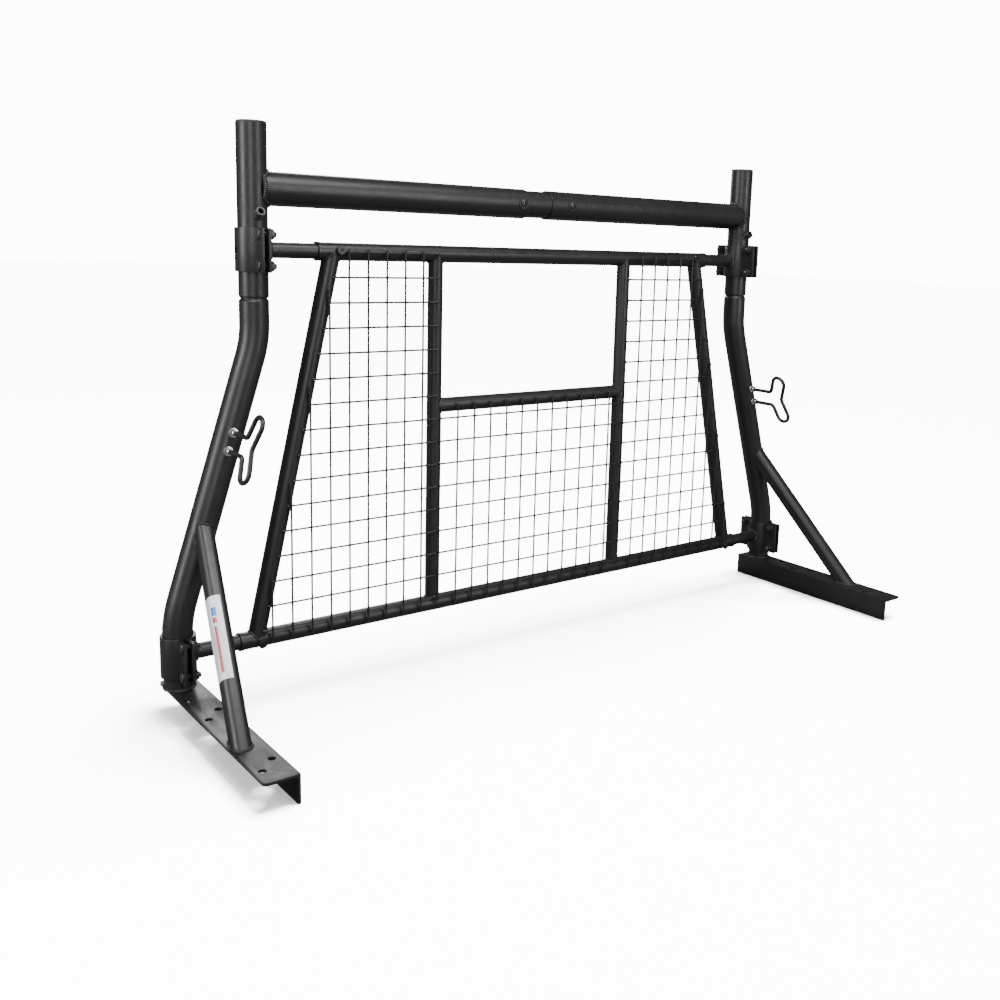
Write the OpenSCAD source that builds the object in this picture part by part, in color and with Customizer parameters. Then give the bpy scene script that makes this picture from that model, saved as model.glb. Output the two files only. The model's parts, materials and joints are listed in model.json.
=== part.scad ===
// Adjustable pickup-bed ladder rack: two leg towers, a telescoping crossbar and a
// telescoping window guard clamped between them.
// Millimetres. X runs across the truck bed, +Y towards the cab, +Z up.
// The origin is the bottom centre of the bounding box. Each side part is drawn on
// the +X side in the tower's own plane, then placed or mirrored by on_side().

/* [Overall] */

// Centre plane to the foot of each leg
foot_x = 782; // [700:1:940]
// How far each leg's shoulder leans in from its foot
shoulder_in = 154; // [110:1:185]
// Overall height, caps included
height = 1054; // [964:1:1264]
// Length of each base angle
base_len = 468; // [390:1:560]

/* [Towers] */

// Outside diameter of the leg and post tube
tube_od = 53; // [45:0.1:60]
// Wall of the leg and post tube
tube_wall = 2.9; // [2.4:0.1:3.5]
// Bend radius of the legs, at the tube's axis
leg_bend_r = 200; // [167:1:240]
// Height of the lower bend's corner
ankle_z = 178; // [178:1:214]
// Brace section across the rack
brace_w = 32; // [27:1:36]
// Brace section in its own leaning plane
brace_d = 38; // [32:1:42]

/* [Base angles] */

// Width of the top flange
flange_w = 60; // [56:1:72]
// Height of the hanging flange
flange_h = 50; // [42:1:60]
// Thickness of both flanges
flange_t = 5; // [4:0.5:6]
// Diameter of the bed-rail bolt holes
base_hole_d = 13.5; // [11:0.5:16]

/* [Crossbar] */

// Outside diameter of the two crossbar tubes
crossbar_od = 60.3; // [52:0.1:72]
// Wall of the two crossbar tubes
crossbar_wall = 2.3; // [1.9:0.1:2.8]
// How far the spigot reaches past the centre plane
spigot_reach = 300; // [250:1:360]

/* [Clamps] */

// Height of each clamp
clamp_h = 77; // [64:1:80]
// Plate thickness of the clamps
clamp_t = 5; // [4:0.5:6]
// Half width of a clamp over its flanges
clamp_half = 60; // [57:1:72]
// Bolt spacing along the tube
clamp_bolt_pitch = 55; // [46:1:56]
// Clamp bolt diameter
clamp_bolt_d = 10; // [8:1:12]

/* [Window guard] */

// Outside diameter of the guard's bars and side tubes
bar_od = 33.4; // [30:0.1:40]
// Bore of the top and bottom bars
bar_id = 29.2; // [26:0.1:30]
// Outside diameter of the uprights and the sill
upright_od = 30; // [25:0.1:33]
// Centre plane to each upright
upright_x = 250; // [209:1:286]
// Height of the window sill's axis
sill_z = 528; // [480:1:633]
// Diameter of the mesh wire
wire_d = 4; // [3:0.1:5]
// Height between the mesh rows
row_pitch = 47; // [40:1:56]
// Spacing of the side panels' upright wires
column_pitch = 40.2; // [34:0.1:48]

/* [Rope cleats] */

// Rod diameter of the rope cleats
cleat_rod_d = 9; // [7:0.5:10]
// Length of a cleat from tip to tip
cleat_len = 125; // [114:1:150]

/* [Clearances] */

// Radial gap of the sliding tubes
slide_gap = 0.3; // [0.2:0.05:0.5]
// Radial gap between a clamp and its tube, and between a post and its neck
seat_gap = 0.1; // [0.05:0.05:0.2]
// Radial gap between a bolt and its nut
thread_gap = 0.05; // [0.02:0.01:0.1]
// Radial gap between a bolt and its hole
hole_gap = 0.5; // [0.3:0.1:1]
// Gap at a welded face
weld_gap = 0.05; // [0.02:0.01:0.1]
// Gap where a coped tube is welded to one of its own size
cope_gap = 0.3; // [0.2:0.05:0.4]

/* [Hidden] */

$fn = 64;
eps = 1;                                // overrun of a cutting tool
arc_steps = 8;                          // flats in a quarter of a rounded section
seam = 0.03;                            // hairline seam where a bend meets a straight
seam_step = 0.025;                      // how much thinner its bridge is, as a share of the radius
seam_plug = 0.4;

// overall
tube_r = tube_od / 2;
tube_bore_r = tube_r - tube_wall;
post_x = foot_x - shoulder_in;
base_front = 40;                        // base angle ahead of the tower plane
base_rear = base_len - base_front;
tower_y = (base_rear - clamp_half) / 2; // centres the bounding box on Y = 0

// heights down from the top
cap_top = 6;
cap_plug = 22;
post_top_z = height - cap_top;
crossbar_z = height - 115;
boss_face_z = crossbar_z - 40;
upper_z = height - 222;                 // upper clamps, stubs and the guard's top bar
post_foot_z = height - 306;
leg_top_z = post_foot_z - 2;
knee_z = height - 382;
neck_top_z = upper_z + clamp_h / 2 + 4;
neck_r = tube_bore_r - seat_gap;
neck_bore_r = neck_r - tube_wall;
swage_h = 4;

// legs
lower_z = flange_h + 59;                // lower clamps, stubs and the guard's bottom bar
lean_run = foot_x - post_x;
lean_rise = knee_z - ankle_z;
lean = atan2(lean_run, lean_rise);      // lean of the leg's middle run
function leg_x(z) = foot_x - (z - ankle_z) * lean_run / lean_rise;

// base angles
flange_in = 36;                         // leg axis to the hanging flange's face
flange_x0 = foot_x - flange_in;
flange_x1 = flange_x0 + flange_w;
flange_corner_r = 8;
outer_row_x = foot_x + 9;
inner_row_x = foot_x - 20;
outer_row_y = [-72, -167, 40 - base_rear];
inner_row_y = [-135, 71 - base_rear];

// brace, from the leg's rear face down to the top flange
brace_top = [leg_x(flange_h + 272), -tube_r, flange_h + 272];
brace_foot = [foot_x + 1.6, 144 - base_rear, flange_h];
brace_run = brace_foot - brace_top;
brace_len = norm(brace_run);
brace_dir = brace_run / brace_len;
brace_tilt_y = asin(brace_dir[0]);
brace_tilt_x = atan2(-brace_dir[1], brace_dir[2]);
brace_corner_r = 13;
brace_wall = 2.5;
brace_over = 34;                        // runs into the leg before it is coped
label_from = 118;
label_to = 270;
label_edge_x = -2;
label_t = 0.3;

// crossbar
crossbar_r = crossbar_od / 2;
crossbar_bore_r = crossbar_r - crossbar_wall;
crossbar_end_x = post_x - 12;
end_ring_len = 24;                      // thicker stretch that closes the end around the post
end_ring_bore_r = crossbar_r - 11;
left_shoulder_x = -38;
right_mouth_x = 20;
spigot_r = crossbar_bore_r - slide_gap;
spigot_wall = 2.3;
spigot_root_x = -130;
left_lock_x = -57;
right_lock_x = 72;
lock_bolt_r = 5;
lock_washer_r = 10.5;
lock_washer_t = 2.4;
lock_head_r = 8;
lock_head_h = 4.4;
lock_saddle = sqrt(pow(crossbar_r, 2) - pow(lock_washer_r, 2));
lock_socket_r = 3;
lock_tip_gap = 0.4;

// eye boss
boss_r = 8.8;
boss_groove_r = 7.9;
boss_bore_r = 4.2;
boss_chamfer = 1.3;
boss_len = 40;
boss_rib_pitch = 4.5;
boss_ribs = 5;
boss_face_y = -(tube_r + 11.6);
boss_tilt = 28;

// clamps
clamp_seat_r = tube_r + seat_gap;
clamp_r = clamp_seat_r + clamp_t;
clamp_split = 4;                        // half the gap between the two halves
clamp_bolt_r = clamp_bolt_d / 2;
carriage_head_r = clamp_bolt_r * 1.9;
carriage_head_h = 4;
carriage_neck = clamp_bolt_d;
clamp_nut_af = 16;
clamp_nut_h = 8;
clamp_bolt_end = 5;                     // bolt shown past its nut
clamp_washer_r = 10;
clamp_washer_t = 1.8;
clamp_bolt_y = max(clamp_half - 16, clamp_r + clamp_washer_r + 1);
pilot_hole_r = 4;

// guard
bar_r = bar_od / 2;
bar_bore_r = bar_id / 2;
stub_r = bar_bore_r - slide_gap;
stub_wall = 2.5;
stub_hidden = 170;                      // stub inside its bar at rest
top_bar_x = post_x - 120;
bottom_bar_x = foot_x - 112;
collar_len = 7;
collar_r = bar_r + 0.9;
side_top_x = post_x - 153;
side_foot_x = foot_x - 146;
side_rise = upper_z - lower_z;
side_run = side_foot_x - side_top_x;
side_lean = atan2(side_run, side_rise);
side_wall = 2;
upright_r = upright_od / 2;
upright_y = upright_r - bar_r + 0.1;    // fronts all but flush with the bars
function side_x(z) = side_top_x + (upper_z - z) * side_run / side_rise;
function side_z(x) = upper_z - (x - side_top_x) * side_rise / side_run;

// mesh
wire_r = wire_d / 2;
wire_bite = 0.4;                        // depth the crossing wires are welded into each other
row_y = -bar_r - wire_r - weld_gap;
column_y = row_y - wire_d + wire_bite;
wire_trim = 3;                          // wire ends stop short of a tube's centre line
rows = floor((upper_z - lower_z - 10) / row_pitch) + 1;
first_column_x = upright_x + 40;
columns = floor((side_foot_x - 12 - first_column_x) / column_pitch) + 1;
centre_columns = 2 * floor((upright_x - 30) / 41) + 1;
centre_pitch = 41;

// guard set screws
set_nut_r = 8;
set_nut_h = 6;
set_screw_r = 4;
set_socket_r = 2.3;
set_tip_gap = 0.4;
set_top_x = side_top_x - 9;
set_bottom_x = side_foot_x - 6;
set_top_tilt = 8;
set_bottom_tilt = -20;

// cleats
cleat_r = cleat_rod_d / 2;
cleat_z = upper_z - 338;
cleat_out = 4;                          // cleat's offset outboard of the leg's axis
cleat_half = 17;                      // half the spacing of a cleat's two shanks
cleat_bend_r = 10;
cleat_limb_tilt = 21;
cleat_shank_y = -91;
cleat_waist_y = -121;
cleat_tip = cleat_len / 2;
cleat_end_y = 38;
cleat_hole_r = cleat_r + 0.2;
cleat_nut_af = 14;
cleat_nut_h = 6.5;
cleat_washer_r = 8.5;
cleat_washer_t = 1.6;

// ---------------------------------------------------------------- helpers

function unit(v) = v / norm(v);
function turn_at(p, i) =
    let (a = unit(p[i] - p[i - 1]), b = unit(p[i + 1] - p[i]))
    atan2(a[0] * b[1] - a[1] * b[0], a * b);
function ends_at(p, i) = i == 0 || i == len(p) - 1;
function setback(p, r, i) = ends_at(p, i) ? 0 : r[i] * tan(abs(turn_at(p, i)) / 2);
function quarter(c, r, from) =
    [for (k = [0 : arc_steps]) c + r * [cos(from + 90 * k / arc_steps), sin(from + 90 * k / arc_steps)]];
function rounded_box(w, d, r) = concat(
    quarter([w / 2 - r, d / 2 - r], r, 0),
    quarter([r - w / 2, d / 2 - r], r, 90),
    quarter([r - w / 2, r - d / 2], r, 180),
    quarter([w / 2 - r, r - d / 2], r, 270));
function half_wrap(w, d, r, x0) = concat(
    [[x0, -d / 2]],
    quarter([w / 2 - r, r - d / 2], r, 270),
    quarter([w / 2 - r, d / 2 - r], r, 0),
    [[x0, d / 2]]);
function backwards(v) = [for (i = [len(v) - 1 : -1 : 0]) v[i]];

// ring section, or a disc where the bore is zero
module ring(r, bore) {
    difference() {
        circle(r = r);
        if (bore > 0) circle(r = bore);
    }
}

// straight piece from a to b in the XY plane
module straight(a, b, bar, bore) {
    translate([a[0], a[1], 0])
        rotate([0, 0, atan2(b[1] - a[1], b[0] - a[0])])
            rotate([0, 90, 0])
                linear_extrude(height = norm(b - a))
                    ring(bar, bore);
}

// bar or tube through the points p in the XY plane, with bend radius r[i] at point i;
// a shorter, slightly thinner piece bridges the hairline seam at each end of a bend
module bent_bar(p, r, bar, bore = 0) {
    last = len(p) - 1;
    step = bar * seam_step;
    for (i = [0 : last - 1]) {
        d = unit(p[i + 1] - p[i]);
        a = p[i] + d * setback(p, r, i);
        b = p[i + 1] - d * setback(p, r, i + 1);
        straight(a + d * (i > 0 ? seam : 0), b - d * (i < last - 1 ? seam : 0), bar, bore);
        if (i > 0)
            straight(a - d * seam_plug, a + d * seam_plug, bar - step, bore > 0 ? bore + step : 0);
        if (i < last - 1)
            straight(b - d * seam_plug, b + d * seam_plug, bar - step, bore > 0 ? bore + step : 0);
    }
    for (i = [1 : last - 1]) {
        t = turn_at(p, i);
        d = unit(p[i] - p[i - 1]);
        s = t > 0 ? 1 : -1;
        a = p[i] - d * setback(p, r, i);
        c = a + s * r[i] * [-d[1], d[0]];
        from = atan2(a[1] - c[1], a[0] - c[0]);
        translate([c[0], c[1], 0])
            rotate([0, 0, t > 0 ? from : from + t])
                rotate_extrude(angle = abs(t))
                    translate([r[i], 0])
                        ring(bar, bore);
    }
}

// puts a +X side part in the tower plane, mirrored for the left side
module on_side(s) {
    if (s > 0)
        translate([0, tower_y, 0]) children();
    else
        mirror([1, 0, 0]) translate([0, tower_y, 0]) children();
}

// turns +Z into the direction named
module along_x() rotate([0, 90, 0]) children();
module along_rear() rotate([90, 0, 0]) children();

// leg frame: children's Z runs up the leaning leg from the cleat's centre
module on_leg() {
    translate([leg_x(cleat_z), 0, cleat_z]) rotate([0, -lean, 0]) children();
}

// hexagonal nut standing on Z = 0
module hex_nut(af, h, bore) {
    difference() {
        cylinder(r = af / sqrt(3), h = h, $fn = 6);
        translate([0, 0, -eps]) cylinder(r = bore, h = h + 2 * eps);
    }
}

// domed head standing on Z = 0
module domed_head(r, h) {
    rim = h * 0.25;
    rotate_extrude()
        polygon(concat([[0, 0], [r, 0]],
            [for (k = [0 : arc_steps]) [r * cos(90 * k / arc_steps), rim + (h - rim) * sin(90 * k / arc_steps)]]));
}

// ---------------------------------------------------------------- towers

module base_angle() {
    difference() {
        union() {
            translate([0, 0, flange_h - flange_t])
                linear_extrude(height = flange_t)
                    polygon(concat(
                        [[flange_x0, base_front], [flange_x0, -base_rear]],
                        quarter([flange_x1 - flange_corner_r, flange_corner_r - base_rear], flange_corner_r, 270),
                        quarter([flange_x1 - flange_corner_r, base_front - flange_corner_r], flange_corner_r, 0)));
            translate([flange_x0, -base_rear, 0])
                cube([flange_t, base_len, flange_h - flange_t / 2]);
        }
        for (y = outer_row_y)
            translate([outer_row_x, y, flange_h - flange_t - eps])
                cylinder(d = base_hole_d, h = flange_t + 2 * eps);
        for (y = inner_row_y)
            translate([inner_row_x, y, flange_h - flange_t - eps])
                cylinder(d = base_hole_d, h = flange_t + 2 * eps);
    }
}

module leg() {
    swage_z = leg_top_z - swage_h;
    difference() {
        union() {
            along_rear()
                bent_bar([[post_x, swage_z], [post_x, knee_z], [foot_x, ankle_z], [foot_x, flange_h]],
                    [0, leg_bend_r, leg_bend_r, 0], tube_r, tube_bore_r);
            translate([post_x, 0, 0])
                rotate_extrude()
                    polygon([[tube_bore_r, swage_z], [tube_r, swage_z], [neck_r, leg_top_z],
                        [neck_r, neck_top_z], [neck_bore_r, neck_top_z], [neck_bore_r, leg_top_z]]);
        }
        on_leg()
            for (a = [-cleat_half, cleat_half])
                translate([cleat_out, tube_od, a]) along_rear() cylinder(r = cleat_hole_r, h = 2 * tube_od);
    }
}

module leg_middle(r) {
    on_leg() translate([0, 0, -lean_rise]) cylinder(r = r, h = 2 * lean_rise);
}

module on_brace() {
    translate(brace_top) rotate([brace_tilt_x, 0, 0]) rotate([0, brace_tilt_y, 0]) children();
}

module brace() {
    difference() {
        on_brace()
            translate([0, 0, -brace_over])
                linear_extrude(height = brace_len + 2 * brace_over)
                    difference() {
                        polygon(rounded_box(brace_w, brace_d, brace_corner_r));
                        polygon(rounded_box(brace_w - 2 * brace_wall, brace_d - 2 * brace_wall,
                            brace_corner_r - brace_wall));
                    }
        leg_middle(tube_r + weld_gap);
        translate([flange_x0 - flange_w, -2 * base_rear, -2 * flange_h])
            cube([3 * flange_w, 3 * base_rear, 3 * flange_h + weld_gap]);
    }
}

module brace_label() {
    w = brace_w + 0.1;
    d = brace_d + 0.1;
    r = brace_corner_r + 0.05;
    on_brace()
        translate([0, 0, label_from])
            linear_extrude(height = label_to - label_from)
                polygon(concat(
                    half_wrap(w + 2 * label_t, d + 2 * label_t, r + label_t, label_edge_x),
                    backwards(half_wrap(w, d, r, label_edge_x))));
}

module post() {
    bevel = 2.6;
    translate([post_x, 0, 0])
        rotate_extrude()
            polygon([[tube_bore_r, post_foot_z], [tube_r - 1.6, post_foot_z],
                [tube_r, post_foot_z + bevel], [tube_r, post_top_z], [tube_bore_r, post_top_z]]);
}

module post_cap() {
    rim = 2.4;
    plug_r = tube_bore_r - seat_gap;
    translate([post_x, 0, post_top_z])
        rotate_extrude()
            polygon(concat(
                [[0, -4], [plug_r - 3, -4], [plug_r - 3, -cap_plug], [plug_r, -cap_plug], [plug_r, 0],
                    [tube_r, 0]],
                [for (k = [0 : arc_steps])
                    [tube_r - 4 + 4 * cos(90 * k / arc_steps), rim + 2.8 * sin(90 * k / arc_steps)]],
                [[0, cap_top]]));
}

module eye_boss() {
    difference() {
        translate([post_x, boss_face_y, boss_face_z])
            rotate([90 - boss_tilt, 0, 0])
                translate([0, 0, -boss_len])
                    rotate_extrude()
                        polygon(concat(
                            [[boss_bore_r, 0], [boss_groove_r, 0]],
                            [for (k = [boss_ribs - 1 : -1 : 0], q = [[0, 0.35], [0.12, 1], [0.62, 1], [0.74, 0.35]])
                                [boss_groove_r + (boss_r - boss_groove_r) * (q[1] - 0.35) / 0.65,
                                    boss_len - (k + 0.74 - q[0]) * boss_rib_pitch]],
                            [[boss_groove_r, boss_len], [boss_bore_r + boss_chamfer, boss_len],
                                [boss_bore_r, boss_len - boss_chamfer]]));
        translate([post_x, 0, boss_face_z - 3 * boss_len]) cylinder(r = tube_r + weld_gap, h = 6 * boss_len);
    }
}

// ---------------------------------------------------------------- crossbar

module lock_hole(x, depth) {
    translate([x, -crossbar_r + depth, crossbar_z]) along_rear() cylinder(r = lock_bolt_r + thread_gap, h = 2 * depth);
}

module post_cope() {
    translate([post_x, 0, 0]) cylinder(r = tube_r + weld_gap, h = height);
}

module crossbar_left_tube() {
    bevel = 2;
    difference() {
        translate([0, 0, crossbar_z])
            along_x()
                rotate_extrude()
                    polygon([[end_ring_bore_r, -crossbar_end_x], [crossbar_r, -crossbar_end_x],
                        [crossbar_r, left_shoulder_x - bevel], [crossbar_r - bevel, left_shoulder_x],
                        [spigot_r, left_shoulder_x], [spigot_r, spigot_reach],
                        [spigot_r - spigot_wall, spigot_reach], [spigot_r - spigot_wall, spigot_root_x],
                        [crossbar_bore_r, spigot_root_x], [crossbar_bore_r, end_ring_len - crossbar_end_x],
                        [end_ring_bore_r, end_ring_len - crossbar_end_x]]);
        mirror([1, 0, 0]) post_cope();
        lock_hole(left_lock_x, 12);
    }
}

module crossbar_right_tube() {
    bevel = 0.8;
    difference() {
        translate([0, 0, crossbar_z])
            along_x()
                rotate_extrude()
                    polygon([[crossbar_bore_r, right_mouth_x], [crossbar_r - bevel, right_mouth_x],
                        [crossbar_r, right_mouth_x + bevel], [crossbar_r, crossbar_end_x],
                        [end_ring_bore_r, crossbar_end_x], [end_ring_bore_r, crossbar_end_x - end_ring_len],
                        [crossbar_bore_r, crossbar_end_x - end_ring_len]]);
        post_cope();
        lock_hole(right_lock_x, 12);
    }
}

// button-head bolt on a saddle washer, through the bar's rear face down to radius tip_r
module lock_bolt(x, tip_r) {
    face = crossbar_r + lock_washer_t - 0.8;
    difference() {
        translate([x, 0, crossbar_z])
            along_rear()
                union() {
                    translate([0, 0, tip_r]) cylinder(r = lock_bolt_r, h = face - tip_r);
                    translate([0, 0, lock_saddle]) cylinder(r = lock_washer_r, h = face - lock_saddle);
                    translate([0, 0, face]) domed_head(lock_head_r, lock_head_h);
                }
        translate([x, 0, crossbar_z])
            along_rear()
                translate([0, 0, face + 1.6]) cylinder(r = lock_socket_r, h = lock_head_h, $fn = 6);
        difference() {
            translate([x - 2 * lock_washer_r, 0, crossbar_z])
                along_x() cylinder(r = crossbar_r + weld_gap, h = 4 * lock_washer_r);
            translate([x, eps, crossbar_z]) along_rear() cylinder(r = lock_bolt_r, h = 2 * crossbar_r);
        }
    }
}

// ---------------------------------------------------------------- clamps

module bolt_places() {
    for (y = [-clamp_bolt_y, clamp_bolt_y], z = [-clamp_bolt_pitch / 2, clamp_bolt_pitch / 2])
        translate([0, y, z]) children();
}

// half a clamp on the +X side of its own axis
module clamp_half_shell() {
    flange_len = 2 * clamp_half;
    difference() {
        intersection() {
            union() {
                translate([0, 0, -clamp_h / 2]) cylinder(r = clamp_r, h = clamp_h);
                translate([0, -clamp_half, -clamp_h / 2]) cube([clamp_split + clamp_t, flange_len, clamp_h]);
            }
            translate([clamp_split, -clamp_half - eps, -clamp_h / 2])
                cube([2 * clamp_r, flange_len + 2 * eps, clamp_h]);
        }
        translate([0, 0, -clamp_h / 2 - eps]) cylinder(r = clamp_seat_r, h = clamp_h + 2 * eps);
    }
}

module clamp_outer(x, z) {
    translate([x, 0, z])
        difference() {
            clamp_half_shell();
            bolt_places()
                translate([0, -(carriage_neck / 2 + hole_gap / 2), -(carriage_neck / 2 + hole_gap / 2)])
                    cube([3 * clamp_t, carriage_neck + hole_gap, carriage_neck + hole_gap]);
            if (z > height / 2)
                along_x() cylinder(r = pilot_hole_r, h = 2 * clamp_r);
        }
}

module clamp_inner(x, z) {
    translate([x, 0, z])
        difference() {
            mirror([1, 0, 0]) clamp_half_shell();
            bolt_places()
                mirror([1, 0, 0]) along_x() cylinder(r = clamp_bolt_r + hole_gap, h = 3 * clamp_t);
        }
}

module clamp_bolts(x, z) {
    plate = clamp_split + clamp_t;
    tip = plate + clamp_washer_t + clamp_nut_h + clamp_bolt_end;
    translate([x, 0, z])
        bolt_places() {
            translate([-tip, 0, 0]) along_x() cylinder(r1 = clamp_bolt_r - 0.8, r2 = clamp_bolt_r, h = 1);
            translate([1 - tip, 0, 0]) along_x() cylinder(r = clamp_bolt_r, h = tip + clamp_split);
            translate([clamp_split, -carriage_neck / 2, -carriage_neck / 2])
                cube([clamp_t, carriage_neck, carriage_neck]);
            translate([plate, 0, 0]) along_x() domed_head(carriage_head_r, carriage_head_h);
        }
}

module clamp_nuts(x, z) {
    plate = clamp_split + clamp_t;
    translate([x, 0, z])
        bolt_places()
            mirror([1, 0, 0]) {
                translate([plate, 0, 0])
                    along_x()
                        difference() {
                            cylinder(r = clamp_washer_r, h = clamp_washer_t);
                            translate([0, 0, -eps]) cylinder(r = clamp_bolt_r + thread_gap, h = 4 * eps);
                        }
                translate([plate + clamp_washer_t, 0, 0])
                    along_x() hex_nut(clamp_nut_af, clamp_nut_h, clamp_bolt_r + thread_gap);
            }
}

// tube welded to a clamp's inner half, running in towards the guard
module stub(x, z, bar_x) {
    inner_end = bar_x - stub_hidden;
    difference() {
        translate([inner_end, 0, z]) along_x() cylinder(r = stub_r, h = x - inner_end);
        translate([inner_end - eps, 0, z]) along_x() cylinder(r = stub_r - stub_wall, h = x - inner_end + 2 * eps);
        translate([x, 0, z - clamp_h]) cylinder(r = clamp_r + weld_gap, h = 2 * clamp_h);
    }
}

// ---------------------------------------------------------------- cleats

// rod path in the plane of the leg's lean and Y, as [y, height along the leg]
function cleat_turn() =
    ([cleat_waist_y - cleat_shank_y, -cleat_half] * [-cos(cleat_limb_tilt), -sin(cleat_limb_tilt)]) / 2;
function cleat_path() =
    let (up = [-sin(cleat_limb_tilt), cos(cleat_limb_tilt)],
        out = [-cos(cleat_limb_tilt), -sin(cleat_limb_tilt)],
        knee = [cleat_shank_y, cleat_half],
        w = cleat_turn(),
        rise = (cleat_tip - cleat_r - w - cleat_half) / up[1] + w * (1 + tan(cleat_limb_tilt)),
        inner_top = knee + up * rise)
    [knee, inner_top, inner_top + 2 * w * out, [cleat_waist_y, 0]];

module cleat_rod() {
    q = cleat_path();
    w = cleat_turn() - 1.5;             // leaves a short straight across each tip
    pts = concat([[cleat_end_y, cleat_half]], q, [for (i = [2 : -1 : 0]) [q[i][0], -q[i][1]]],
        [[cleat_end_y, -cleat_half]]);
    bends = [0, cleat_bend_r, w, w, cleat_bend_r, w, w, cleat_bend_r, 0];
    on_leg() translate([cleat_out, 0, 0]) rotate([90, 0, 90]) bent_bar(pts, bends, cleat_r);
}

module cleat_nuts() {
    on_leg()
        for (a = [-cleat_half, cleat_half], s = [0, 1])
            translate([cleat_out, 0, a])
                mirror([0, s, 0])
                    translate([0, -tube_r - weld_gap, 0])
                        along_rear() {
                            difference() {
                                cylinder(r = cleat_washer_r, h = cleat_washer_t);
                                translate([0, 0, -eps]) cylinder(r = cleat_r + thread_gap, h = 4 * eps);
                            }
                            translate([0, 0, cleat_washer_t])
                                hex_nut(cleat_nut_af, cleat_nut_h, cleat_r + thread_gap);
                        }
}

// ---------------------------------------------------------------- guard

module in_plane() {
    translate([0, tower_y, 0]) children();
}

module set_places(x, z, tilt) {
    for (s = [-1, 1])
        translate([s * x, 0, z]) rotate([90 - tilt, 0, 0]) children();
}

module slide_bar(half, z, set_x, tilt) {
    in_plane()
        difference() {
            union() {
                translate([-half + collar_len, 0, z]) along_x() cylinder(r = bar_r, h = 2 * (half - collar_len));
                for (s = [-1, 1])
                    translate([s * (half - collar_len / 2) - collar_len / 2, 0, z])
                        along_x() cylinder(r = collar_r, h = collar_len);
            }
            translate([-half - eps, 0, z]) along_x() cylinder(r = bar_bore_r, h = 2 * (half + eps));
            set_places(set_x, z, tilt) cylinder(r = set_screw_r + thread_gap, h = 2 * bar_r);
        }
}

module bar_cope(z) {
    translate([-foot_x, 0, z]) along_x() cylinder(r = bar_r + cope_gap, h = 2 * foot_x);
}

module side_tube(s) {
    len = norm([side_run, side_rise]);
    in_plane()
        difference() {
            translate([s * side_top_x, 0, upper_z])
                rotate([0, 180 - s * side_lean, 0])
                    difference() {
                        cylinder(r = bar_r, h = len);
                        translate([0, 0, -eps]) cylinder(r = bar_r - side_wall, h = len + 2 * eps);
                    }
            bar_cope(upper_z);
            bar_cope(lower_z);
        }
}

module upright(s) {
    in_plane()
        difference() {
            translate([s * upright_x, upright_y, lower_z])
                difference() {
                    cylinder(r = upright_r, h = side_rise);
                    translate([0, 0, -eps]) cylinder(r = upright_r - side_wall, h = side_rise + 2 * eps);
                }
            bar_cope(upper_z);
            bar_cope(lower_z);
        }
}

module sill_tube() {
    in_plane()
        difference() {
            translate([-upright_x, upright_y, sill_z]) along_x() cylinder(r = upright_r, h = 2 * upright_x);
            translate([-upright_x - eps, upright_y, sill_z])
                along_x() cylinder(r = upright_r - side_wall, h = 2 * (upright_x + eps));
            for (s = [-1, 1])
                translate([s * upright_x, upright_y, sill_z - 2 * bar_od])
                    cylinder(r = upright_r + cope_gap, h = 4 * bar_od);
        }
}

module row_wire(x0, x1, z) {
    translate([x0, row_y, z]) along_x() cylinder(r = wire_r, h = x1 - x0);
}

module column_wire(x, z0, z1) {
    translate([x, column_y, z0]) cylinder(r = wire_r, h = z1 - z0);
}

// side panel on the +X side
module side_mesh() {
    nut_edge_x = set_top_x - set_nut_r - wire_trim;     // the top row stops at the set nut
    row_wire(upright_x + wire_trim, nut_edge_x, upper_z);
    for (k = [1 : rows - 1]) {
        z = upper_z - k * row_pitch;
        row_wire(upright_x + wire_trim, side_x(z) - wire_trim, z);
    }
    for (i = [0 : columns - 1]) {
        x = first_column_x + i * column_pitch;
        top = x < side_top_x ? upper_z + 5 : side_z(x) + 5;
        column_wire(x, lower_z - 5, top);
    }
}

module centre_mesh() {
    for (k = [0 : rows - 1]) {
        z = upper_z - k * row_pitch;
        if (z < sill_z - upright_r - wire_r)
            row_wire(wire_trim - upright_x, upright_x - wire_trim, z);
    }
    for (i = [0 : centre_columns - 1])
        column_wire((i - (centre_columns - 1) / 2) * centre_pitch, lower_z - 5, sill_z + 5);
}

module set_nut() {
    difference() {
        translate([0, 0, bar_r - 3]) cylinder(r = set_nut_r, h = set_nut_h + 3);
        translate([0, 0, bar_r - 4]) cylinder(r = set_screw_r + thread_gap, h = set_nut_h + 6);
        rotate([0, 90, 0]) translate([0, 0, -2 * set_nut_r]) cylinder(r = bar_r + weld_gap, h = 4 * set_nut_r);
    }
}

module set_screw() {
    tip = stub_r + set_tip_gap;
    difference() {
        translate([0, 0, tip]) cylinder(r = set_screw_r, h = bar_r + set_nut_h - 1.5 - tip);
        translate([0, 0, bar_r + set_nut_h - 5]) cylinder(r = set_socket_r, h = 5, $fn = 6);
    }
}

// ---------------------------------------------------------------- nodes

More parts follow.
